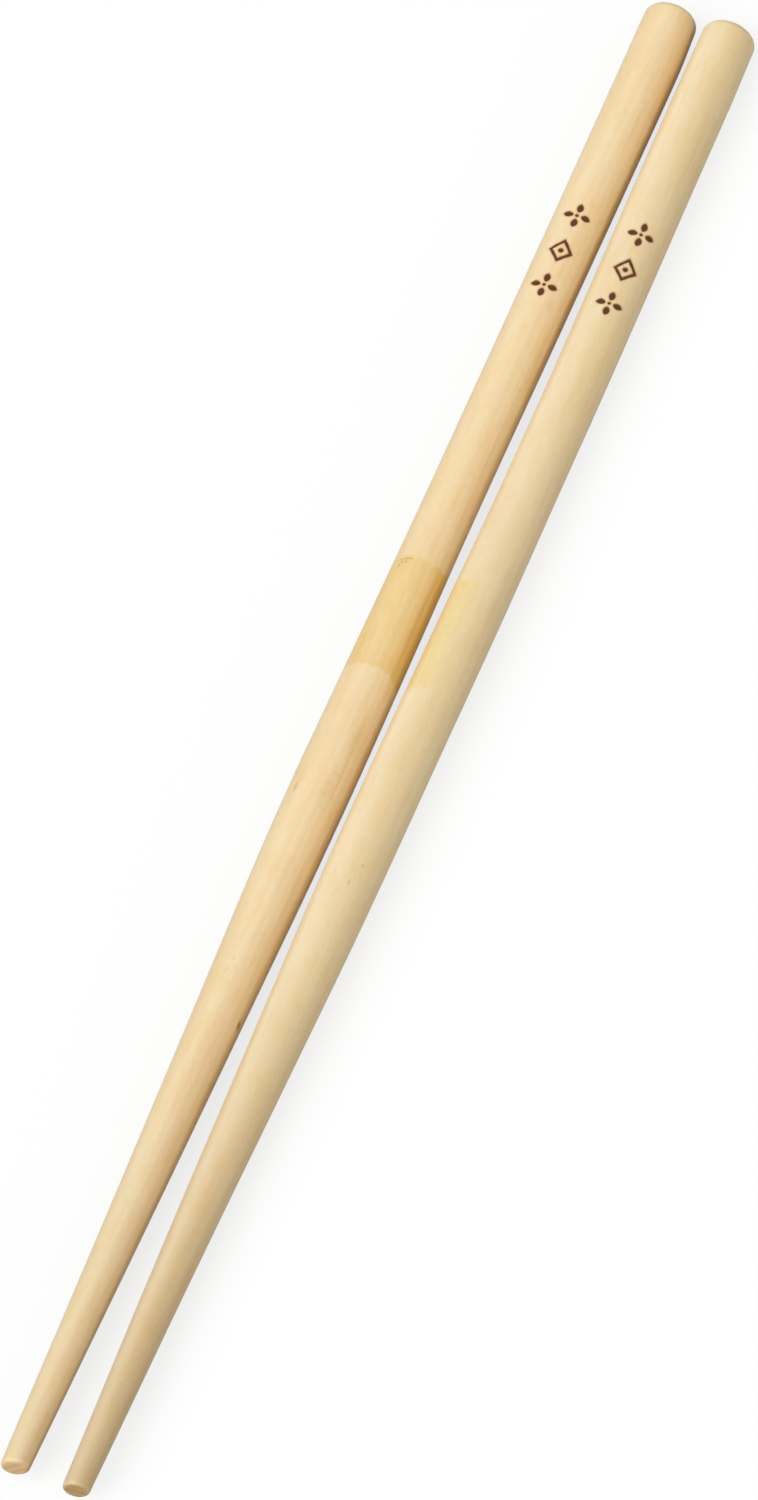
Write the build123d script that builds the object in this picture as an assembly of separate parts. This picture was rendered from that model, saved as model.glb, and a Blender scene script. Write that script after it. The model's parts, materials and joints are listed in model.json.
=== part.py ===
"""A pair of round wooden chopsticks, lying side by side as they rest on a table.

Each stick is turned from one length of pale softwood. From the butt it narrows a little to a
waist, swells to a belly just past the middle, and then tapers evenly to a slender tip. The
straight stretches run into each other through long, gentle curves. Both ends are cut square and
have rounded rims. The left stick's belly is a crest, and the right one's is a longer full stretch.

Units are millimetres. X runs across the pair, Y along it with the butts at +Y, and Z is up.
The origin is on the table, under the middle of the pair.
"""
from build123d import *

import os
from math import asin, degrees, radians, tan

# Sizes that both sticks share
LENGTH = 230.0
BUTT_DIAMETER = 7.35
BUTT_ROUNDING = 1.0
TIP_ROUNDING = 0.45

# Left stick: its diameters, where the straight stretches would meet without their curves, and
# how far each of these places is from the butt end
LEFT_WAIST_DIAMETER = 6.93
LEFT_WAIST_AT = 82.0
LEFT_BELLY_DIAMETER = 7.74
LEFT_BELLY_AT = 132.0
LEFT_TIP_DIAMETER = 3.48

# Right stick: the same, with a belly that starts and ends at two places
RIGHT_WAIST_DIAMETER = 7.05
RIGHT_WAIST_AT = 74.0
RIGHT_BELLY_DIAMETER = 7.38
RIGHT_BELLY_START = 97.0
RIGHT_BELLY_END = 140.0
RIGHT_TIP_DIAMETER = 3.34

# How far each long curve reaches along the straight stretches on either side of it
WAIST_REACH = 10.0
CREST_REACH = 13.0
BELLY_START_REACH = 7.0
BELLY_END_REACH = 10.0

# Distance between the centre lines of the two sticks
SPACING = 7.95


def turned_stick(places, tip_diameter):
    """A stick turned about the Y axis, with its butt end at Y = 0 and its tip towards -Y.

    Each place is a distance from the butt, the diameter there and the reach of its curve.
    """
    side = [
        Vector(BUTT_DIAMETER / 2, 0),
        *[Vector(diameter / 2, -distance) for distance, diameter, _ in places],
        Vector(tip_diameter / 2, -LENGTH),
    ]
    curves = []
    for before, corner, after, place in zip(side, side[1:], side[2:], places):
        turn = radians((corner - before).get_angle(after - corner))
        reach = place[2]
        curves.append(reach / tan(turn / 2))
    outline = FilletPolyline(
        (0, 0), *side, (0, -LENGTH), radius=[BUTT_ROUNDING, *curves, TIP_ROUNDING]
    )
    centre_line = Line(outline @ 1, outline @ 0)
    return revolve(make_face([outline, centre_line]), axis=Axis.Y)


def laid_down(stick, belly_at):
    """The stick on the table at Z = 0, tipped so that it rests on its butt and its belly."""
    fullest_diameter = stick.bounding_box().size.X
    tilt = degrees(asin((fullest_diameter - BUTT_DIAMETER) / 2 / belly_at))
    tipped = Rot(X=-tilt) * stick
    return Pos(Z=-tipped.bounding_box().min.Z) * tipped


left_places = [
    (LEFT_WAIST_AT, LEFT_WAIST_DIAMETER, WAIST_REACH),
    (LEFT_BELLY_AT, LEFT_BELLY_DIAMETER, CREST_REACH),
]
left = laid_down(turned_stick(left_places, LEFT_TIP_DIAMETER), LEFT_BELLY_AT)

right_places = [
    (RIGHT_WAIST_AT, RIGHT_WAIST_DIAMETER, WAIST_REACH),
    (RIGHT_BELLY_START, RIGHT_BELLY_DIAMETER, BELLY_START_REACH),
    (RIGHT_BELLY_END, RIGHT_BELLY_DIAMETER, BELLY_END_REACH),
]
right = laid_down(turned_stick(right_places, RIGHT_TIP_DIAMETER), RIGHT_BELLY_START)
right = Pos(X=SPACING) * right

# The sticks are moved together until the origin is under the middle of the pair
middle = left.bounding_box().add(right.bounding_box()).center()
os.makedirs("parts", exist_ok=True)
for name, stick in {"chopstick_left": left, "chopstick_right": right}.items():
    export_step(Pos(-middle.X, -middle.Y) * stick, f"parts/{name}.step")
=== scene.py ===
"""The looks of a pair of round wooden chopsticks, lying side by side on a pale floor.

Each stick is one fine mesh. It has the same straight stretches and long curves as the solid that
it stands for, and is a little warped and uneven, as real wood is. Three small ornaments are burned
into its upper side, and tape has left a faint amber band round its middle.

Sizes and places on a stick are in millimetres, and all other places are in metres. A place on a
stick is a distance from its butt end, and an angle from its top line towards +X, in degrees.
"""
import json
import math

import bpy
import numpy as np
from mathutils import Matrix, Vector


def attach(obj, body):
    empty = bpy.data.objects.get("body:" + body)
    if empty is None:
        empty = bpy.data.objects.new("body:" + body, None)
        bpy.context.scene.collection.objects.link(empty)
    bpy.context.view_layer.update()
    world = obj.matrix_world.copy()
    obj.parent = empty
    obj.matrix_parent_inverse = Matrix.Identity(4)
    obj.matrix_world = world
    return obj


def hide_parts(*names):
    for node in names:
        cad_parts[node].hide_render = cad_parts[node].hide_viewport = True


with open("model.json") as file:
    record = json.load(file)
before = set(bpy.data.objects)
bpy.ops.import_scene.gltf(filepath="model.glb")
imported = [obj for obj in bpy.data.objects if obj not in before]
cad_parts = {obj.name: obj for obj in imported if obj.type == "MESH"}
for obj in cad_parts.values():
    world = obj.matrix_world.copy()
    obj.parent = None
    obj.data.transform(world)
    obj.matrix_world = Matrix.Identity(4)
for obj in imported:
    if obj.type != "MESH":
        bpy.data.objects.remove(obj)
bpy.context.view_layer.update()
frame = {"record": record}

MM = 0.001


def screen_colour(red, green, blue):
    """A colour as a screen shows it, from 0 to 255, turned into the linear values of a shader."""
    linear = [((value / 255 + 0.055) / 1.055) ** 2.4 for value in (red, green, blue)]
    return (*linear, 1.0)


# Sizes that both sticks share
LENGTH = 230.0
BUTT_DIAMETER = 7.35
BUTT_ROUNDING = 1.0
TIP_ROUNDING = 0.45

# How close together the points of a mesh are, along the stick and round it
WIDE_STEP = 1.5
SPOT_STEPS = 6
ORNAMENT_STEP = 0.1
ORNAMENT_MARGIN = 0.4
ROUNDING_RINGS = 10
FACE_RINGS = 7
ORNAMENT_SPAN = 64.0
ORNAMENT_SEGMENTS = 84
OTHER_SEGMENTS = 92

# Slight waves that hand sanding leaves, each as its height, the length over which it swings by one
# radian along the stick, how many bumps it has round the stick, the length over which those twist
# by one radian, and how far the stick's seed shifts it along and round
SANDING_WAVES = [
    (0.016, 21.0, 2, math.inf, 1, 0.7),
    (0.009, 9.3, 1, 37.0, 2, 1),
    (0.004, 4.1, 3, -26.0, 3, 0),
]

# How quickly a dent or a dark mark dies away from its middle
SPOT_FALL = 3

# Burned ornaments: how far each reaches from its centre, and its depth, soft edge and brown rim
ORNAMENT_REACH = 1.85
BURN_EDGE = 0.08
BURN_DEPTH = 0.08
SCORCH_REACH = 0.3
PETAL_START = 0.5
PETAL_HALF_WIDTH = 0.44
BLOSSOM_DOT_RADIUS = 0.24
LOZENGE_LENGTH = 1.55
LOZENGE_BREADTH = 1.4
LOZENGE_LINE = 0.42
LOZENGE_DOT_RADIUS = 0.36

# How far a burned line's edge wavers, and how quickly along and across the stick
WAVER = 0.03
WAVER_ALONG = 3.1
WAVER_ACROSS = 4.3

# How far each end's slanting cut runs up the stick before it has died away, and the small flat
# bevel beside each tip, which starts where the cut has grown to this share
CUT_REACH = 8.0
BEVEL_WIDTH = 0.5
BEVEL_SLOPE = 0.6
BEVEL_START = 0.9

# The map for baking: how many strips it has, and the share of a strip that each side keeps free
BAKE_STRIPS = 3
BAKE_MARGIN = 0.01

# For each stick: the corners of its outline, as distance from the butt, diameter and the reach of
# the long curve there, then its warps to the side, as middle, half length and height
LEFT = {
    "node": "chopstick_left",
    "mount": "left_butt_end",
    "slot": "warm_wood",
    "corners": [(82.0, 6.93, 10.0), (132.0, 7.74, 13.0)],
    "tip_diameter": 3.48,
    "warps": [(70.0, 45.0, -0.08), (126.0, 75.0, -0.23)],
    "unevenness_seed": 1.3,
    # How much shorter each end is than its solid, and how much more so for each mm towards +X
    "butt_cut": (0.12, -0.03),
    "tip_cut": (0.33, 0.2),
    "tip_bevel_angle": 62.0,
    "ornaments": [(36.3, 1.0, "blossom"), (42.1, 0.5, "lozenge"), (47.8, -2.0, "blossom")],
    # A worn place on the butt's rim, and dents, as distance, angle, length, width and depth
    "dents": [
        (0.0, 85.0, 16.0, 12.0, 0.34), (163.1, 73.0, 1.7, 0.7, 0.06), (129.4, -38.0, 1.6, 0.5, 0.04),
    ],
    # Dark marks and brown grain, as distance, angle, length, width and darkness
    "marks": [
        # The knot and the nick
        (162.8, 70.0, 1.9, 0.9, 0.6), (163.3, 72.0, 1.7, 0.8, 0.5), (129.3, -39.0, 2.2, 0.6, 0.45),
        # The small squiggle at the band's edge
        (93.0, -38.0, 0.35, 0.9, 0.4), (92.9, -28.0, 0.35, 0.9, 0.5), (92.8, -18.0, 0.3, 1.1, 0.5),
        (93.45, -33.0, 0.9, 0.45, 0.5), (93.35, -24.0, 0.7, 0.45, 0.45), (93.9, -38.0, 0.7, 0.45, 0.4),
        # Long brown grain lines
        (20.0, 31.0, 30.0, 0.5, 0.08), (72.0, 45.0, 64.0, 0.55, 0.12), (101.0, 50.0, 24.0, 0.7, 0.2),
        (126.5, 38.0, 14.0, 0.55, 0.16), (143.0, 46.0, 26.0, 0.5, 0.12), (157.0, 66.0, 12.0, 1.4, 0.1),
        # Faint patches
        (50.4, 27.0, 3.2, 1.0, 0.2), (155.5, -8.0, 1.0, 0.8, 0.09), (157.3, -14.0, 1.3, 0.8, 0.1),
        (156.7, 3.0, 0.8, 0.9, 0.07),
        # Wavy grain on the belly
        (120.5, 36.0, 15.0, 2.4, 0.15), (128.5, 27.0, 10.0, 2.6, 0.1), (126.0, 28.0, 0.9, 2.4, 0.07),
        (127.7, 26.0, 0.8, 2.8, 0.08), (129.3, 25.0, 0.9, 2.6, 0.08), (131.2, 26.0, 0.8, 2.4, 0.06),
    ],
}
RIGHT = {
    "node": "chopstick_right",
    "mount": "right_butt_end",
    "slot": "pale_wood",
    "corners": [(74.0, 7.05, 10.0), (97.0, 7.38, 7.0), (140.0, 7.38, 10.0)],
    "tip_diameter": 3.34,
    "warps": [(66.0, 58.0, 0.38), (105.0, 38.0, 0.13), (198.0, 55.0, -0.17)],
    "unevenness_seed": 4.9,
    "butt_cut": (0.18, 0.0),
    "tip_cut": (0.1, 0.14),
    "tip_bevel_angle": 70.0,
    "ornaments": [(36.2, 9.0, "blossom"), (42.0, 8.0, "lozenge"), (47.6, 5.0, "blossom")],
    "dents": [(0.0, 85.0, 24.0, 12.0, 0.24), (140.3, 10.0, 0.9, 0.4, 0.03)],
    "marks": [(140.3, 10.0, 1.2, 0.5, 0.35), (137.4, 22.0, 0.7, 0.9, 0.2)],
}

# Patterns in the wood: how fine each is across and along the stick, then its detail, roughness and
# seed. The one of the years runs across them, from each to the next.
PATTERNS = {
    "heart": (0.05, 0.012, 2.0, 0.5, 0),
    "years": (0.45, 0.0, 1.0, 0.5, 3),
    "coarse_fibres": (2.2, 0.06, 3.0, 0.6, 0),
    "thin_fibres": (9.0, 0.3, 3.0, 0.6, 1),
    "band_edges": (0.9, 0.9, 4.0, 0.65, 7),
    "rosy": (0.35, 0.055, 3.0, 0.55, 11),
    "yellow": (0.6, 0.28, 2.0, 0.5, 13),
    "char": (4.0, 4.0, 3.0, 0.6, 17),
    "flecks": (1.6, 0.9, 4.0, 0.7, 19),
    "streaks": (0.9, 0.11, 3.0, 0.65, 29),
}

# Blotches: the values of their pattern at which they start and are full, and their strength then
BLOTCHES = {
    "rosy": (0.35, 0.7, 0.42),
    "yellow": (0.4, 0.7, 0.45),
    "flecks": (0.4, 0.7, 0.42),
    "streaks": (0.48, 0.68, 0.4),
}

# Growth: how far the layers stray and how uneven the years are, the shares of a year over which
# late wood comes and goes, and how strong it is in the palest year
HEART_STRAYING = 1.6
YEAR_UNEVENNESS = 1.4
LATE_COMES = (0.25, 0.93)
LATE_GOES = (1.0, 0.94)
PALEST_LATE = 0.4

# The fibres' values between which their shade grows
FIBRE_RISE = (0.3, 0.7)

# Shades round the stick, as the angles over which they come and go: all those on the flank towards
# +X go on the underside, and the side that faces the other stick has a fade at both edges. The
# shoulder's, the tip flank's and that side's shades are painted.
UNDERSIDE = (180.0, 110.0)
SHOULDER_COMES = (-25.0, 25.0)
SHOULDER_GOES = (80.0, 45.0)
TIP_FLANK_COMES = (-20.0, 40.0)
PAINTED_SHADE_BETWEEN_FADES = (22.0, 30.0)

# How the painted shade on the side that faces the other stick changes along it, before and after
# the band, each as the stretch where it changes and its strength before and after that stretch
PAINTED_SHADE_BEFORE_BAND = (45.0, 85.0, 1.0, 0.3)
PAINTED_SHADE_AFTER_BAND = (95.0, 130.0, 0.3, 0.55)

# The amber band: how far its ends stray in mm and its sides in degrees, how it fades before and
# after its start and round its end, and the angles over which the end comes to reach further
BAND_END_STRAYING = 2.4
BAND_SIDE_STRAYING = 30.0
BAND_START_FADES = (0.4, 0.5)
BAND_END_FADE = 0.25
BAND_DROOP_COMES = (35.0, 80.0)

# Its deeper part: the angles over which it comes, and how its strength grows with the fibres
DEEP_BAND_COMES = (25.0, 62.0)
DEEP_BAND_FIBRES = (0.35, 0.6, 0.5, 1.0)

# End grain: the shares of the full radius between which it gives way to the side, how much more
# strongly its rings show, and how dark it is at the butt and at the tip
END_GRAIN_EDGE = (0.72, 0.92)
END_RING_STRENGTH = 0.5
END_SHADES = (0.35, 0.9)

# Dark marks: how quickly the stain round each one fills, and the values at which its dark core
# starts and is full
STAIN_FILLING = 2.0
STAIN_COLOUR = screen_colour(224, 197, 138)
SPECK_RISE = (0.4, 1.0)

# Burned lines and their scorched rims
SCORCH_STRENGTH = 0.35
SCORCH_COLOUR = screen_colour(216, 160, 104)
DARK_CHAR = screen_colour(70, 36, 18)
BROWN_CHAR = screen_colour(112, 66, 36)

# The satin face: how its roughness grows with the fibres, how much duller burned lines and ends
# are, how far late wood stands above the fibres, and how strong the relief and the shine are
FIBRE_ROUGHNESS = (0.3, 0.7, 0.5, 0.6)
DULLNESS = 0.3
LATE_HEIGHT = 0.35
RELIEF = {"Strength": 0.35, "Distance": 0.03 * MM}
SATIN = {
    "Specular IOR Level": 0.3,
    "Subsurface Weight": 0.25,
    "Subsurface Radius": (1.0, 0.5, 0.22),
    "Subsurface Scale": 1.2 * MM,
}

WARM_WOOD = {
    "seed": 2.0,
    # Where the tree's heart lay from the centre line, the thickness of a year, and how much the
    # layers shift for each mm along the stick
    "heart": (-26.0, 34.0),
    "layer": 1.05,
    "runout": 0.004,
    "early": screen_colour(246, 226, 186),
    "late": screen_colour(230, 192, 136),
    "late_strength": 0.22,
    "rosy": screen_colour(252, 239, 227),
    "yellow": screen_colour(253, 248, 228),
    "fibre_strength": 0.16,
    "fibre_colour": screen_colour(242, 226, 200),
    "fleck_colour": screen_colour(250, 242, 230),
    # The flank towards +X, away from the key light: the angles over which its shade comes, and
    # its strength. The shade is painted, partly the wood's own warmer tone there.
    "flank": (-10.0, 60.0, 0.7),
    "flank_tone_and_painted_shade_colour": screen_colour(250, 238, 214),
    "streak_colour": screen_colour(240, 222, 196),
    # The side that faces the other stick, as two angles. Its colour is painted shade, deepest
    # near the butt.
    "painted_shade_between": (60.0, 140.0),
    "painted_shade_between_colour": screen_colour(210, 196, 184),
    # Painted shade, nearly grey, on the upper right of the stick
    "shoulder_painted_shade_colour": screen_colour(248, 246, 245),
    # The stretch over which the darkening towards the tip comes
    "tip_range": (120.0, 225.0),
    "tip_colour": screen_colour(245, 248, 250),
    # Painted shade on the tip's flank towards +X
    "tip_flank_painted_shade_colour": screen_colour(244, 240, 240),
    # Where the band starts and ends, and how much further it reaches on the flank
    "band": (92.4, 109.6),
    "band_droop": 1.0,
    # The angles that it keeps between, and its fade there. These two lie so far out that it
    # goes all round.
    "band_angles": (-400.0, 400.0, 6.0),
    "band_strength": 0.95,
    "amber": screen_colour(251, 244, 218),
    "deep_strength": 0.8,
    "deep_amber": screen_colour(250, 240, 196),
    "end_colour": screen_colour(253, 233, 218),
    "speck_colour": screen_colour(116, 90, 50),
}
PALE_WOOD = {
    "seed": 31.0,
    "heart": (6.0, 44.0),
    "layer": 1.2,
    "runout": -0.003,
    "early": screen_colour(242, 227, 193),
    "late": screen_colour(230, 200, 154),
    "late_strength": 0.2,
    "rosy": screen_colour(252, 240, 228),
    "yellow": screen_colour(252, 249, 232),
    "fibre_strength": 0.14,
    "fibre_colour": screen_colour(242, 230, 210),
    "fleck_colour": screen_colour(250, 244, 234),
    # The flank's, the shoulder's and the tip flank's colours, and the colour of the side that faces the
    # other stick, are painted shade
    "flank": (-35.0, 20.0, 1.0),
    "flank_tone_and_painted_shade_colour": screen_colour(248, 241, 226),
    "streak_colour": screen_colour(250, 240, 226),
    "painted_shade_between": (-140.0, -70.0),
    "painted_shade_between_colour": screen_colour(240, 233, 226),
    "shoulder_painted_shade_colour": screen_colour(250, 250, 250),
    "tip_range": (132.0, 238.0),
    "tip_colour": screen_colour(233, 228, 223),
    "tip_flank_painted_shade_colour": screen_colour(242, 240, 240),
    "band": (93.0, 110.2),
    "band_droop": 0.0,
    "band_angles": (-160.0, -6.0, 20.0),
    "band_strength": 1.0,
    "amber": screen_colour(252, 248, 220),
    "deep_strength": 0.0,
    "deep_amber": screen_colour(250, 240, 196),
    "end_colour": screen_colour(226, 203, 175),
    "speck_colour": screen_colour(150, 122, 84),
}

# Camera, from the photograph
CAMERA_AZIMUTH = 20.77
CAMERA_ELEVATION = 57.0
CAMERA_DISTANCE = 1.5
CAMERA_TARGET = Vector((-0.000374, -0.001515, 0.0))
PHOTO_HEIGHT = 1500
FOCAL_PIXELS = 12086
SENSOR_SIZE = 36.0

# Light, and the floor that it falls on
KEY_DIRECTION = Vector((-0.43, -0.7, 0.82))
KEY_STRENGTH = 2.26
KEY_ANGLE = 50.0
FILL_DIRECTION = Vector((0.95, -0.15, 0.28))
FILL_STRENGTH = 0.8
FILL_ANGLE = 40.0
SKY_STRENGTH = 0.45
FLOOR_SIZE = 40.0
FLOOR_SHADE = 0.12
FLOOR_SHADOW_SHARE = 0.22

# Names of the values that each mesh carries for its material
PLACE = "place_on_stick"
BURN = "burn"
SCORCH = "scorch"
SPECK = "speck"
END_GRAIN = "end_grain"


def smooth_step(value, low, high):
    """0 below low, 1 above high, and a smooth rise between them."""
    share = np.clip((value - low) / (high - low), 0.0, 1.0)
    return share * share * (3 - 2 * share)


def radius_along(stick, distance):
    """The outline's radius at these distances from the butt, with a long curve at each corner."""
    places = [0.0, *[corner[0] for corner in stick["corners"]], LENGTH]
    diameters = [BUTT_DIAMETER, *[corner[1] for corner in stick["corners"]], stick["tip_diameter"]]
    slopes = np.diff(diameters) / 2 / np.diff(places)
    radius = BUTT_DIAMETER / 2 + slopes[0] * distance
    for (corner, _, reach), before, after in zip(stick["corners"], slopes, slopes[1:]):
        inside = np.clip(distance - corner, -reach, reach) + reach
        beyond = np.maximum(distance - corner - reach, 0.0)
        radius = radius + (after - before) * (inside**2 / (4 * reach) + beyond)
    return radius


def side_distances(stick):
    """Distances of the rings of points between the two roundings, close together at the details."""
    reach = ORNAMENT_REACH + ORNAMENT_MARGIN
    details = [(at - reach, at + reach, ORNAMENT_STEP) for at, _, _ in stick["ornaments"]]
    details += [(at - length, at + length, length / SPOT_STEPS)
                for at, _, length, _, _ in stick["dents"] + stick["marks"]]
    distances = [BUTT_ROUNDING]
    while distances[-1] < LENGTH - TIP_ROUNDING - WIDE_STEP:
        here = distances[-1]
        steps = [WIDE_STEP]
        for start, end, fine_step in details:
            if start <= here < end:
                steps.append(fine_step)
            elif here < start:
                steps.append(max(fine_step, start - here))
        distances.append(here + min(steps))
    return np.array(distances[1:])


def outline(stick):
    """Distance from the butt and radius of each ring, from the butt's centre round to the tip's."""
    quarter = np.linspace(0.0, math.pi / 2, ROUNDING_RINGS)
    butt_distance = BUTT_ROUNDING * (1 - np.cos(quarter))
    butt_radius = radius_along(stick, butt_distance) - BUTT_ROUNDING * (1 - np.sin(quarter))
    tip_distance = LENGTH - TIP_ROUNDING * (1 - np.cos(quarter[::-1]))
    tip_radius = radius_along(stick, tip_distance) - TIP_ROUNDING * (1 - np.sin(quarter[::-1]))
    face = np.linspace(0.0, 1.0, FACE_RINGS, endpoint=False)[1:]
    side = side_distances(stick)
    distance = np.concatenate([0 * face, butt_distance, side, tip_distance, LENGTH + 0 * face])
    radius = np.concatenate([
        face * butt_radius[0], butt_radius, radius_along(stick, side), tip_radius,
        face[::-1] * tip_radius[-1],
    ])
    return distance[:, None], radius[:, None]


def ring_angles(stick):
    """Angles of the points in each ring, in degrees, close together where the ornaments are."""
    middle = np.mean([angle for _, angle, _ in stick["ornaments"]])
    start = middle - ORNAMENT_SPAN / 2
    end = middle + ORNAMENT_SPAN / 2
    fine = np.linspace(start, end, ORNAMENT_SEGMENTS, endpoint=False)
    coarse = np.linspace(end, start + 360, OTHER_SEGMENTS, endpoint=False)
    return np.concatenate([fine, coarse])[None, :]


def unevenness(stick, distance, angle):
    """How much the radius strays from a true turned form, as hand sanding leaves it."""
    seed = stick["unevenness_seed"]
    turn = np.radians(angle)
    total = 0.0
    for height, length, bumps, twist, shift_along, shift_round in SANDING_WAVES:
        along = np.sin(distance / length + shift_along * seed)
        around = np.cos(bumps * turn + distance / twist + shift_round * seed)
        total = total + height * along * around
    return total


def offset_on_surface(stick, distance, angle, at, at_angle):
    """How far points are from a place on the surface, along the stick and round it, in mm."""
    radius = radius_along(stick, np.asarray(float(at)))
    turn = (angle - at_angle + 180) % 360 - 180
    return distance - at, radius * np.radians(turn)


def outside_leaf(out, side, start, end, half_width):
    """How far points are outside a leaf shape that two arcs enclose, or below 0 inside it."""
    half_length = (end - start) / 2
    arc_radius = (half_length**2 + half_width**2) / (2 * half_width)
    from_arc_centre = np.hypot(out - start - half_length, side + arc_radius - half_width)
    return from_arc_centre - arc_radius


def outside_blossom(along, across):
    """The same for four pointed petals round a dot."""
    direction = np.arctan2(across, along)
    quarter_turn = math.pi / 2
    folded = direction - quarter_turn * np.round(direction / quarter_turn)
    from_centre = np.hypot(along, across)
    out = from_centre * np.cos(folded)
    side = np.abs(from_centre * np.sin(folded))
    petals = outside_leaf(out, side, PETAL_START, ORNAMENT_REACH, PETAL_HALF_WIDTH)
    return np.minimum(petals, from_centre - BLOSSOM_DOT_RADIUS)


def outside_lozenge(along, across):
    """The same for the lines of a lozenge with a dot at its centre."""
    size = math.hypot(LOZENGE_LENGTH, LOZENGE_BREADTH)
    level = np.abs(along) * LOZENGE_BREADTH + np.abs(across) * LOZENGE_LENGTH
    lines = np.abs(level - LOZENGE_LENGTH * LOZENGE_BREADTH) / size - LOZENGE_LINE / 2
    return np.minimum(lines, np.hypot(along, across) - LOZENGE_DOT_RADIUS)


def ornament_marks(stick, distance, angle):
    """How deeply each point is burned, and how far the scorched rim reaches it, from 0 to 1."""
    burn = np.zeros(np.broadcast(distance, angle).shape)
    scorch = burn.copy()
    outside = {"blossom": outside_blossom, "lozenge": outside_lozenge}
    for at, at_angle, kind in stick["ornaments"]:
        along, across = offset_on_surface(stick, distance, angle, at, at_angle)
        waver = WAVER * np.sin(WAVER_ALONG * along + at) * np.cos(WAVER_ACROSS * across - at)
        near = np.hypot(along, across) < ORNAMENT_REACH + 2 * SCORCH_REACH
        gap = np.where(near, outside[kind](along, across) + waver, LENGTH)
        burn = np.maximum(burn, 1 - smooth_step(gap, -BURN_EDGE, BURN_EDGE))
        scorch = np.maximum(scorch, 1 - smooth_step(gap, 0.0, SCORCH_REACH))
    return burn, scorch


def spots(stick, distance, angle, places):
    """The sum of soft oval spots, each with its own strength, at these places on the stick."""
    total = np.zeros(np.broadcast(distance, angle).shape)
    for at, at_angle, length, width, strength in places:
        along, across = offset_on_surface(stick, distance, angle, at, at_angle)
        from_middle = (2 * along / length) ** 2 + (2 * across / width) ** 2
        total += strength * np.exp(-SPOT_FALL * from_middle)
    return total


def warp_along(stick, distance):
    """How far the stick's centre line strays to +X."""
    total = np.zeros_like(distance)
    for middle, half_length, height in stick["warps"]:
        share = np.clip((distance - middle) / half_length, -1.0, 1.0)
        total += height * np.cos(share * math.pi / 2) ** 2
    return total


def cut_ends(stick, x, distance, z):
    """The points' distances from the butt, with a bevel beside the tip and both cuts aslant."""
    turn = math.radians(stick["tip_bevel_angle"])
    outward = x * math.sin(turn) + z * math.cos(turn)
    past_bevel = np.maximum(outward - stick["tip_diameter"] / 2 + BEVEL_WIDTH, 0.0)
    near_tip = smooth_step(distance, LENGTH - CUT_REACH, LENGTH)
    bevel_limit = LENGTH - BEVEL_SLOPE * past_bevel * near_tip
    s = np.where(near_tip > BEVEL_START, np.minimum(distance, bevel_limit), distance)
    shorter, slant = stick["butt_cut"]
    s = s + (shorter + slant * x) * (1 - smooth_step(s, 0.0, CUT_REACH))
    shorter, slant = stick["tip_cut"]
    return s - (shorter + slant * x) * near_tip


def lying(stick, x, s, z):
    """Points of the stick where it lies, in mm, with its butt end at the solid's own."""
    mount = next(m for m in frame["record"]["mounts"] if m["name"] == stick["mount"])
    butt = Vector(mount["pos_m"]) / MM
    axis = Vector(mount["axis"]).normalized()
    return np.stack([
        butt.x + warp_along(stick, s) + x,
        butt.y - axis.y * s - axis.z * z,
        butt.z - axis.z * s + axis.y * z,
    ], axis=-1)


def grid_faces(rings, segments):
    """Faces between neighbouring rings, and the two fans that close the ends."""
    ring = np.arange(rings - 1)[:, None] * segments
    here = np.arange(segments)[None, :]
    following = (here + 1) % segments
    corners = [ring + here, ring + segments + here, ring + segments + following, ring + following]
    sides = np.stack(corners, axis=2).reshape(-1, 4).tolist()
    first_centre = rings * segments
    last_ring = (rings - 1) * segments
    first_fan = [(first_centre, k, (k + 1) % segments) for k in range(segments)]
    last_fan = [
        (first_centre + 1, last_ring + (k + 1) % segments, last_ring + k) for k in range(segments)
    ]
    return sides + first_fan + last_fan


def carried_value(mesh, name, kind, values):
    """Stores one value or vector for each point of the mesh, for its material to read."""
    attribute = mesh.attributes.new(name, kind, "POINT")
    field = "vector" if kind == "FLOAT_VECTOR" else "value"
    attribute.data.foreach_set(field, np.asarray(values, np.float32).ravel())


def with_ends(grid, first, last):
    """A grid of values as one row for each point, with the two end centres after it."""
    flat = grid.reshape(-1, grid.shape[2]) if grid.ndim == 3 else grid.reshape(-1)
    return np.concatenate([flat, [first], [last]])


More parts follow.
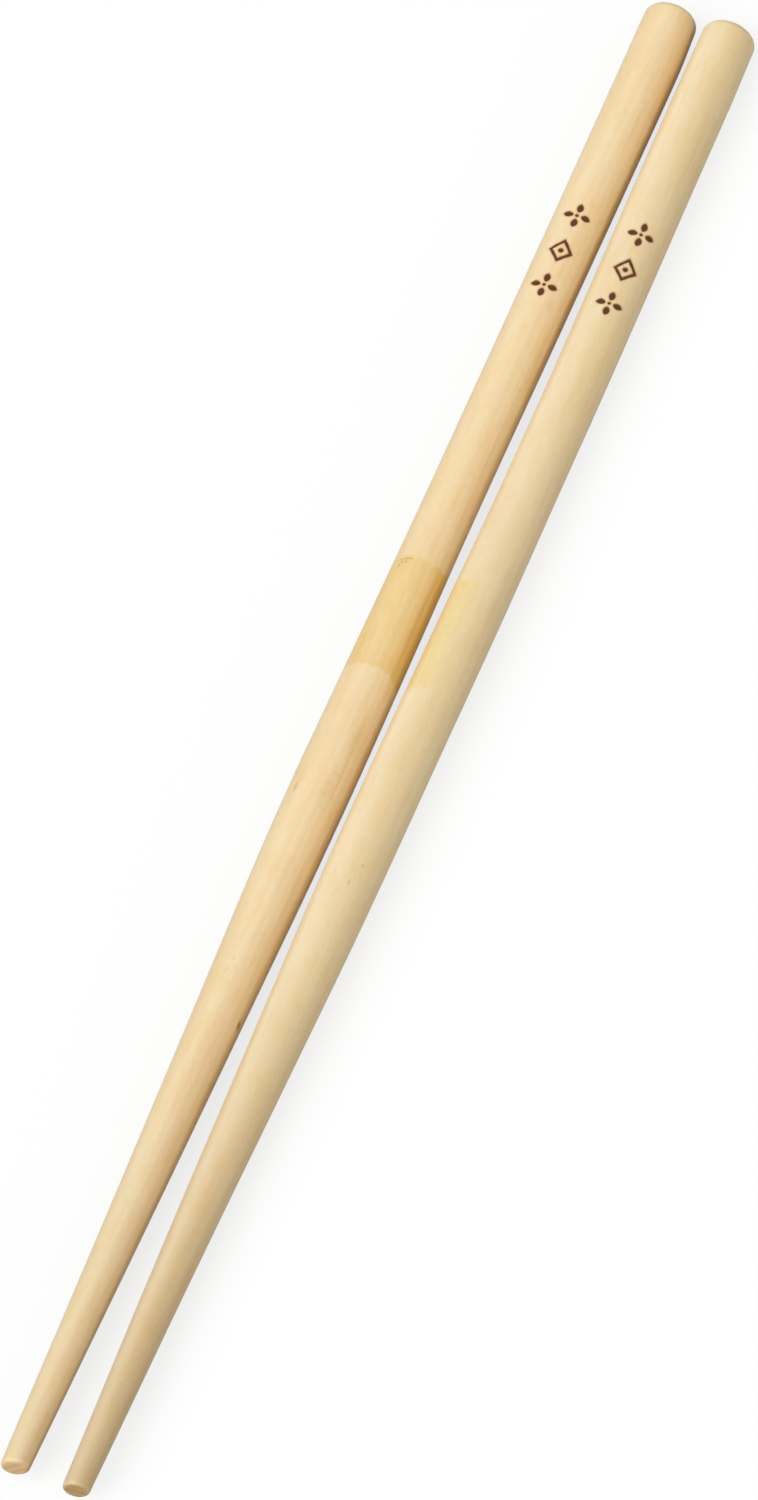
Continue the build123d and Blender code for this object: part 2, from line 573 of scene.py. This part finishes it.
def add_bake_map(mesh, distance, radius, angle):
    """A map that shows the stick unrolled, as strips one above the other, for baking its colours."""
    ring_steps = np.hypot(np.diff(distance[:, 0]), np.diff(radius[:, 0]))
    along = np.cumsum(np.concatenate([[radius[0, 0]], ring_steps]))
    total = along[-1] + radius[-1, 0]
    strip_length = total / BAKE_STRIPS
    round_share = np.append(angle[0] - angle[0, 0], 360.0) / 360.0
    segments = angle.shape[1]
    # Each strip keeps one margin free on three sides and two at its far end
    filled_width = 1 - 2 * BAKE_MARGIN
    filled_length = 1 - 3 * BAKE_MARGIN

    def corner(ring_place, turn, strip):
        length_share = (ring_place - strip * strip_length) / strip_length
        lengthways = BAKE_MARGIN + length_share * filled_length
        sideways = (strip + BAKE_MARGIN + round_share[turn] * filled_width) / BAKE_STRIPS
        return np.stack(np.broadcast_arrays(lengthways, sideways), axis=-1)

    turn = np.arange(segments)[None, :]
    before = along[:-1, None]
    after = along[1:, None]
    strip = np.minimum((before + after) / 2 // strip_length, BAKE_STRIPS - 1)
    sides = np.stack([corner(before, turn, strip), corner(after, turn, strip),
                      corner(after, turn + 1, strip), corner(before, turn + 1, strip)], axis=2)
    turn = turn[0]
    last_strip = BAKE_STRIPS - 1
    first_fan = np.stack([corner(0.0, turn, 0), corner(along[0], turn, 0),
                          corner(along[0], turn + 1, 0)], axis=1)
    last_fan = np.stack([corner(total, turn, last_strip), corner(along[-1], turn + 1, last_strip),
                         corner(along[-1], turn, last_strip)], axis=1)
    values = np.concatenate([sides.ravel(), first_fan.ravel(), last_fan.ravel()])
    mesh.uv_layers.new(name="OFBake").uv.foreach_set("vector", values.astype(np.float32))


def stick_mesh(stick):
    """One chopstick as a closed mesh, lying where the solid that it stands for lies."""
    distance, radius = outline(stick)
    angle = ring_angles(stick)
    turn = np.radians(angle)
    burn, scorch = ornament_marks(stick, distance, angle)
    relief = unevenness(stick, distance, angle) - BURN_DEPTH * burn
    relief -= spots(stick, distance, angle, stick["dents"])
    fullness = radius / radius_along(stick, distance)
    true_radius = radius + relief * fullness
    x = true_radius * np.sin(turn)
    z = true_radius * np.cos(turn)
    s = cut_ends(stick, x, distance, z)
    start = lying(stick, 0.0, stick["butt_cut"][0], 0.0)
    end = lying(stick, 0.0, LENGTH - stick["tip_cut"][0], 0.0)
    points = with_ends(lying(stick, x, s, z), start, end)

    mesh = bpy.data.meshes.new(stick["node"] + "_turned")
    mesh.from_pydata(points * MM, [], grid_faces(*burn.shape))
    mesh.polygons.foreach_set("use_smooth", [True] * len(mesh.polygons))
    place = np.stack([x, s, z], axis=2)
    speck = spots(stick, distance, angle, stick["marks"])
    end_grain = np.broadcast_to(1 - smooth_step(fullness, *END_GRAIN_EDGE), burn.shape)
    carried_value(mesh, PLACE, "FLOAT_VECTOR", with_ends(place, [0, 0, 0], [0, LENGTH, 0]))
    carried_value(mesh, BURN, "FLOAT", with_ends(burn, 0, 0))
    carried_value(mesh, SCORCH, "FLOAT", with_ends(scorch, 0, 0))
    carried_value(mesh, SPECK, "FLOAT", with_ends(speck, 0, 0))
    carried_value(mesh, END_GRAIN, "FLOAT", with_ends(end_grain, 1, 1))
    add_bake_map(mesh, distance, radius, angle)
    mesh.update()
    return mesh


class Nodes:
    """The shader nodes of one material or world, added and joined by short calls."""

    def __init__(self, owner):
        owner.use_nodes = True
        self.tree = owner.node_tree
        self.tree.nodes.clear()

    def add(self, kind, inputs=(), **settings):
        """A new node. Each input is a value or another node's output."""
        node = self.tree.nodes.new(kind)
        for name, value in settings.items():
            setattr(node, name, value)
        for key, value in dict(inputs).items():
            if isinstance(value, bpy.types.NodeSocket):
                self.tree.links.new(value, node.inputs[key])
            else:
                node.inputs[key].default_value = value
        return node

    def maths(self, operation, *values):
        """One sum, product or the like of these values."""
        return self.add("ShaderNodeMath", enumerate(values), operation=operation).outputs[0]

    def product(self, first, *others):
        """All these values multiplied together."""
        result = first
        for other in others:
            result = self.maths("MULTIPLY", result, other)
        return result

    def vector(self, x, y, z):
        """A vector of these three values."""
        return self.add("ShaderNodeCombineXYZ", {0: x, 1: y, 2: z}).outputs[0]

    def split(self, vector):
        """The vector's three values."""
        return self.add("ShaderNodeSeparateXYZ", {0: vector}).outputs

    def scaled(self, vector, x, y, z):
        """The vector, scaled by these amounts along its three axes."""
        inputs = {0: vector, 1: (x, y, z)}
        return self.add("ShaderNodeVectorMath", inputs, operation="MULTIPLY").outputs[0]

    def noise(self, vector, detail, roughness, seed):
        """Uneven values round 0.5."""
        inputs = {"Vector": vector, "W": seed, "Scale": 1.0, "Detail": detail, "Roughness": roughness}
        return self.add("ShaderNodeTexNoise", inputs, noise_dimensions="4D").outputs[0]

    def rise(self, value, low, high, start=0.0, end=1.0):
        """The start at low, the end at high, and a smooth change between them."""
        inputs = {"Value": value, "From Min": low, "From Max": high, "To Min": start, "To Max": end}
        node = self.add("ShaderNodeMapRange", inputs, interpolation_type="SMOOTHSTEP")
        return node.outputs[0]

    def blend(self, amount, first, second, kind="MIX"):
        """The first colour with this amount of the second laid over it."""
        inputs = {0: amount, 6: first, 7: second}
        return self.add("ShaderNodeMix", inputs, data_type="RGBA", blend_type=kind).outputs[2]

    def carried(self, name, output="Fac"):
        """A value or vector that the mesh carries."""
        return self.add("ShaderNodeAttribute", attribute_name=name).outputs[output]


class WoodNodes(Nodes):
    """The nodes of one stick's wood, with the places and patterns that its shades share."""

    def __init__(self, material, look):
        super().__init__(material)
        self.look = look
        self.place = self.carried(PLACE, "Vector")
        self.x, self.distance, self.z = self.split(self.place)
        self.angle = self.maths("DEGREES", self.maths("ARCTAN2", self.x, self.z))
        self.end_grain = self.carried(END_GRAIN)
        self.side = self.maths("SUBTRACT", 1.0, self.end_grain)

    def pattern(self, name, points):
        """One of the wood's patterns at these points, as uneven values round 0.5."""
        across, along, detail, roughness, seed = PATTERNS[name]
        stretched = self.scaled(points, across, along, across)
        return self.noise(stretched, detail, roughness, self.look["seed"] + seed)

    def blotches(self, name):
        """How strongly one kind of blotch shows."""
        low, high, most = BLOTCHES[name]
        return self.rise(self.pattern(name, self.place), low, high, 0.0, most)

    def strayed(self, value, pattern, reach):
        """The value, moved up or down as the pattern says, by up to half this reach."""
        lowest = self.maths("SUBTRACT", value, reach / 2)
        return self.maths("MULTIPLY_ADD", pattern, reach, lowest)

    def facing_right(self, low, high, most=1.0):
        """The strength of a shade on the flank towards +X. It dies away again on the underside."""
        flank = self.rise(self.angle, low, high, 0.0, most)
        return self.product(flank, self.rise(self.angle, *UNDERSIDE))


def growth_layers(nodes):
    """Each year's growth: 0 in its pale early wood, rising to 1 in the thin late wood."""
    look = nodes.look
    heart_x, heart_z = look["heart"]
    away_x = nodes.maths("SUBTRACT", nodes.x, heart_x)
    away_z = nodes.maths("SUBTRACT", nodes.z, heart_z)
    squares = nodes.maths("ADD", nodes.product(away_x, away_x), nodes.product(away_z, away_z))
    from_heart = nodes.maths("SQRT", squares)
    straying = nodes.pattern("heart", nodes.place)
    strayed = nodes.maths("MULTIPLY_ADD", straying, HEART_STRAYING, from_heart)
    shifted = nodes.maths("ADD", strayed, nodes.product(nodes.distance, look["runout"]))
    years = nodes.maths("DIVIDE", shifted, look["layer"])
    uneven = nodes.pattern("years", nodes.vector(years, 0.0, 0.0))
    phase = nodes.maths("MULTIPLY_ADD", uneven, YEAR_UNEVENNESS, years)
    share = nodes.maths("FRACT", phase)
    late = nodes.product(nodes.rise(share, *LATE_COMES), nodes.rise(share, *LATE_GOES))
    year = nodes.maths("FLOOR", phase)
    chance = nodes.add("ShaderNodeTexWhiteNoise", {"W": year}, noise_dimensions="1D").outputs[0]
    return nodes.product(late, nodes.maths("MULTIPLY_ADD", chance, 1 - PALEST_LATE, PALEST_LATE))


def fibres(nodes):
    """Fine fibres that run along the stick, coarse and hair-thin ones together."""
    coarse = nodes.pattern("coarse_fibres", nodes.place)
    thin = nodes.pattern("thin_fibres", nodes.place)
    return nodes.product(nodes.maths("ADD", coarse, thin), 0.5)


def plain_grain(nodes, late):
    """The colour of early and late wood, which differ most in the end grain."""
    look = nodes.look
    contrast = nodes.maths("MULTIPLY_ADD", nodes.end_grain, END_RING_STRENGTH, look["late_strength"])
    return nodes.blend(nodes.product(late, contrast), look["early"], look["late"])


def drifting_stains(nodes, fibre):
    """Strengths and colours of the warmer and yellower patches, the fibres' shade and the flecks."""
    look = nodes.look
    return [
        (nodes.blotches("rosy"), look["rosy"]),
        (nodes.blotches("yellow"), look["yellow"]),
        (nodes.rise(fibre, *FIBRE_RISE, 0.0, look["fibre_strength"]), look["fibre_colour"]),
        (nodes.blotches("flecks"), look["fleck_colour"]),
    ]


def side_grain_and_painted_shades(nodes):
    """Strengths and colours of painted shades round the stick and of its streaks, none on its end faces.
    """
    look = nodes.look
    angle = nodes.angle
    # Painted shade on the flank towards +X, away from the key light, partly the wood's warmer tone
    flank = nodes.product(nodes.facing_right(*look["flank"]), nodes.side)
    streaks = nodes.product(flank, nodes.blotches("streaks"))
    # Painted shade on the side that faces the other stick, deepest near the butt
    low, high = look["painted_shade_between"]
    low_fade, high_fade = PAINTED_SHADE_BETWEEN_FADES
    low_edge = nodes.rise(angle, low, low + low_fade)
    high_edge = nodes.rise(angle, high, high - high_fade)
    before_band = nodes.rise(nodes.distance, *PAINTED_SHADE_BEFORE_BAND)
    after_band = nodes.rise(nodes.distance, *PAINTED_SHADE_AFTER_BAND)
    deepness = nodes.maths("MAXIMUM", before_band, after_band)
    painted_shade_between = nodes.product(low_edge, high_edge, deepness, nodes.side)
    # Painted shade on the upper right of the stick
    shoulder_comes = nodes.rise(angle, *SHOULDER_COMES)
    shoulder_goes = nodes.rise(angle, *SHOULDER_GOES)
    shoulder = nodes.product(shoulder_comes, shoulder_goes, nodes.side)
    return [
        (flank, look["flank_tone_and_painted_shade_colour"]),
        (painted_shade_between, look["painted_shade_between_colour"]),
        (streaks, look["streak_colour"]),
        (shoulder, look["shoulder_painted_shade_colour"]),
    ]


def tip_darkening_and_painted_shade(nodes):
    """Strengths and colours of the darkening towards the tip, and of painted shade on its flank."""
    look = nodes.look
    towards_tip = nodes.rise(nodes.distance, *look["tip_range"])
    # Painted shade on the tip's flank towards +X
    flank = nodes.product(towards_tip, nodes.facing_right(*TIP_FLANK_COMES), nodes.side)
    return [(towards_tip, look["tip_colour"]), (flank, look["tip_flank_painted_shade_colour"])]


def tape_band(nodes):
    """How strongly the amber band shows, from 0 to 1. Its end reaches further on the flank."""
    look = nodes.look
    ragged = nodes.pattern("band_edges", nodes.place)
    start, end = look["band"]
    before_start, after_start = BAND_START_FADES
    distance = nodes.strayed(nodes.distance, ragged, BAND_END_STRAYING)
    droop = nodes.facing_right(*BAND_DROOP_COMES, look["band_droop"])
    drooping = nodes.maths("SUBTRACT", distance, droop)
    started = nodes.rise(distance, start - before_start, start + after_start)
    not_ended = nodes.rise(drooping, end + BAND_END_FADE, end - BAND_END_FADE)
    low, high, fade = look["band_angles"]
    angle = nodes.strayed(nodes.angle, ragged, BAND_SIDE_STRAYING)
    past_low = nodes.rise(angle, low - fade, low + fade)
    before_high = nodes.rise(angle, high + fade, high - fade)
    return nodes.product(started, not_ended, past_low, before_high)


def band_stains(nodes, fibre):
    """Strengths and colours of the amber band, and of its deeper part on the flank."""
    look = nodes.look
    band = tape_band(nodes)
    flank = nodes.facing_right(*DEEP_BAND_COMES, look["deep_strength"])
    deep = nodes.product(band, flank, nodes.rise(fibre, *DEEP_BAND_FIBRES))
    return [(nodes.product(band, look["band_strength"]), look["amber"]), (deep, look["deep_amber"])]


def mark_stains(nodes):
    """Strengths and colours of the end grain, the dark marks and the scorched rims."""
    look = nodes.look
    end_shade = nodes.rise(nodes.distance, 0.0, LENGTH, *END_SHADES)
    speck = nodes.carried(SPECK)
    darkening = nodes.maths("MINIMUM", nodes.product(speck, STAIN_FILLING), 1.0)
    return [
        (nodes.product(nodes.end_grain, end_shade), look["end_colour"]),
        (darkening, STAIN_COLOUR),
        (nodes.rise(speck, *SPECK_RISE), look["speck_colour"]),
        (nodes.product(nodes.carried(SCORCH), SCORCH_STRENGTH), SCORCH_COLOUR),
    ]


def satin_face(nodes, colour, late, fibre, burn):
    """A satin surface. Fibres and late wood stand a little proud, and burned lines and ends are dull."""
    dull = nodes.product(nodes.maths("MAXIMUM", burn, nodes.end_grain), DULLNESS)
    roughness = nodes.maths("ADD", nodes.rise(fibre, *FIBRE_ROUGHNESS), dull)
    height = nodes.maths("MULTIPLY_ADD", late, LATE_HEIGHT, fibre)
    relief = nodes.add("ShaderNodeBump", {"Height": height, **RELIEF}).outputs[0]
    inputs = {"Base Color": colour, "Roughness": roughness, "Normal": relief, **SATIN}
    shader = nodes.add("ShaderNodeBsdfPrincipled", inputs)
    nodes.add("ShaderNodeOutputMaterial", {0: shader.outputs[0]})


def wood(name, look):
    """Pale, fine-grained softwood with its stains, painted shades, dark marks and burned lines."""
    material = bpy.data.materials.new(name)
    nodes = WoodNodes(material, look)
    late = growth_layers(nodes)
    fibre = fibres(nodes)
    stains_and_painted_shades = drifting_stains(nodes, fibre) + side_grain_and_painted_shades(nodes) + tip_darkening_and_painted_shade(nodes)
    stains_and_painted_shades += band_stains(nodes, fibre) + mark_stains(nodes)
    colour = plain_grain(nodes, late)
    # Stains and painted shades darken the colour one after another
    for amount, darkening in stains_and_painted_shades:
        colour = nodes.blend(amount, colour, darkening, "MULTIPLY")
    burn = nodes.carried(BURN)
    char = nodes.blend(nodes.pattern("char", nodes.place), DARK_CHAR, BROWN_CHAR)
    satin_face(nodes, nodes.blend(burn, colour, char), late, fibre, burn)
    return material


def add_stick(stick, look):
    """One chopstick with its wood, standing for its solid."""
    mesh = stick_mesh(stick)
    piece = bpy.data.objects.new(stick["node"] + "_turned", mesh)
    bpy.context.scene.collection.objects.link(piece)
    mesh.materials.append(wood(stick["slot"], look))
    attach(piece, "root")
    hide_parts(stick["node"])


def grey(share):
    """A grey of this brightness, from 0 for black to 1 for white."""
    return (share, share, share, 1.0)


def finish_plain(nodes, output, lighting, seen):
    """Shows one shader to the camera, straight or in a reflection, and the other to other rays."""
    path = nodes.add("ShaderNodeLightPath").outputs
    mirrored = nodes.maths("MAXIMUM", path["Is Glossy Ray"], path["Is Transmission Ray"])
    seen_directly = nodes.maths("MAXIMUM", path["Is Camera Ray"], mirrored)
    mix = nodes.add("ShaderNodeMixShader", {0: seen_directly, 1: lighting.outputs[0], 2: seen.outputs[0]})
    nodes.add(output, {0: mix.outputs[0]})


def floor():
    """A plain white floor that keeps the object's shadow."""
    bpy.ops.mesh.primitive_plane_add(size=FLOOR_SIZE)
    plane = bpy.context.object
    plane.name = "floor"
    material = bpy.data.materials.new("white_floor")
    nodes = Nodes(material)
    plain = nodes.add("ShaderNodeBsdfDiffuse", {"Color": grey(FLOOR_SHADE)})
    shaded = nodes.add("ShaderNodeBsdfDiffuse", {"Color": grey(FLOOR_SHADOW_SHARE)})
    glow = {"Color": grey(1.0), "Strength": 1 - FLOOR_SHADOW_SHARE}
    white = nodes.add("ShaderNodeEmission", glow)
    bright = nodes.add("ShaderNodeAddShader", {0: shaded.outputs[0], 1: white.outputs[0]})
    finish_plain(nodes, "ShaderNodeOutputMaterial", plain, bright)
    plane.data.materials.append(material)


def sky():
    """Even white light from all round, which shows as plain white."""
    world = bpy.data.worlds.new("studio")
    bpy.context.scene.world = world
    nodes = Nodes(world)
    dim = nodes.add("ShaderNodeBackground", {0: grey(1.0), 1: SKY_STRENGTH})
    white = nodes.add("ShaderNodeBackground", {0: grey(1.0), 1: 1.0})
    finish_plain(nodes, "ShaderNodeOutputWorld", dim, white)


def broad_light(name, direction, strength, angle):
    """One broad, soft light from far away in this direction."""
    light = bpy.data.lights.new(name, "SUN")
    light.energy = strength
    light.angle = math.radians(angle)
    lamp = bpy.data.objects.new(name, light)
    bpy.context.scene.collection.objects.link(lamp)
    lamp.rotation_euler = direction.to_track_quat("Z", "Y").to_euler()


def camera():
    """The photograph's viewpoint: high, from the front right, and far away."""
    turn = math.radians(CAMERA_AZIMUTH)
    rise = math.radians(CAMERA_ELEVATION)
    back = Vector((math.sin(turn) * math.cos(rise), -math.cos(turn) * math.cos(rise), math.sin(rise)))
    data = bpy.data.cameras.new("camera")
    data.sensor_width = SENSOR_SIZE
    data.lens = FOCAL_PIXELS / PHOTO_HEIGHT * SENSOR_SIZE
    eye = bpy.data.objects.new("camera", data)
    bpy.context.scene.collection.objects.link(eye)
    eye.location = CAMERA_TARGET + back * CAMERA_DISTANCE
    eye.rotation_euler = back.to_track_quat("Z", "Y").to_euler()
    bpy.context.scene.camera = eye


add_stick(LEFT, WARM_WOOD)
add_stick(RIGHT, PALE_WOOD)
floor()
sky()
broad_light("key", KEY_DIRECTION, KEY_STRENGTH, KEY_ANGLE)
broad_light("fill", FILL_DIRECTION, FILL_STRENGTH, FILL_ANGLE)
camera()
bpy.context.scene.view_settings.view_transform = "Standard"
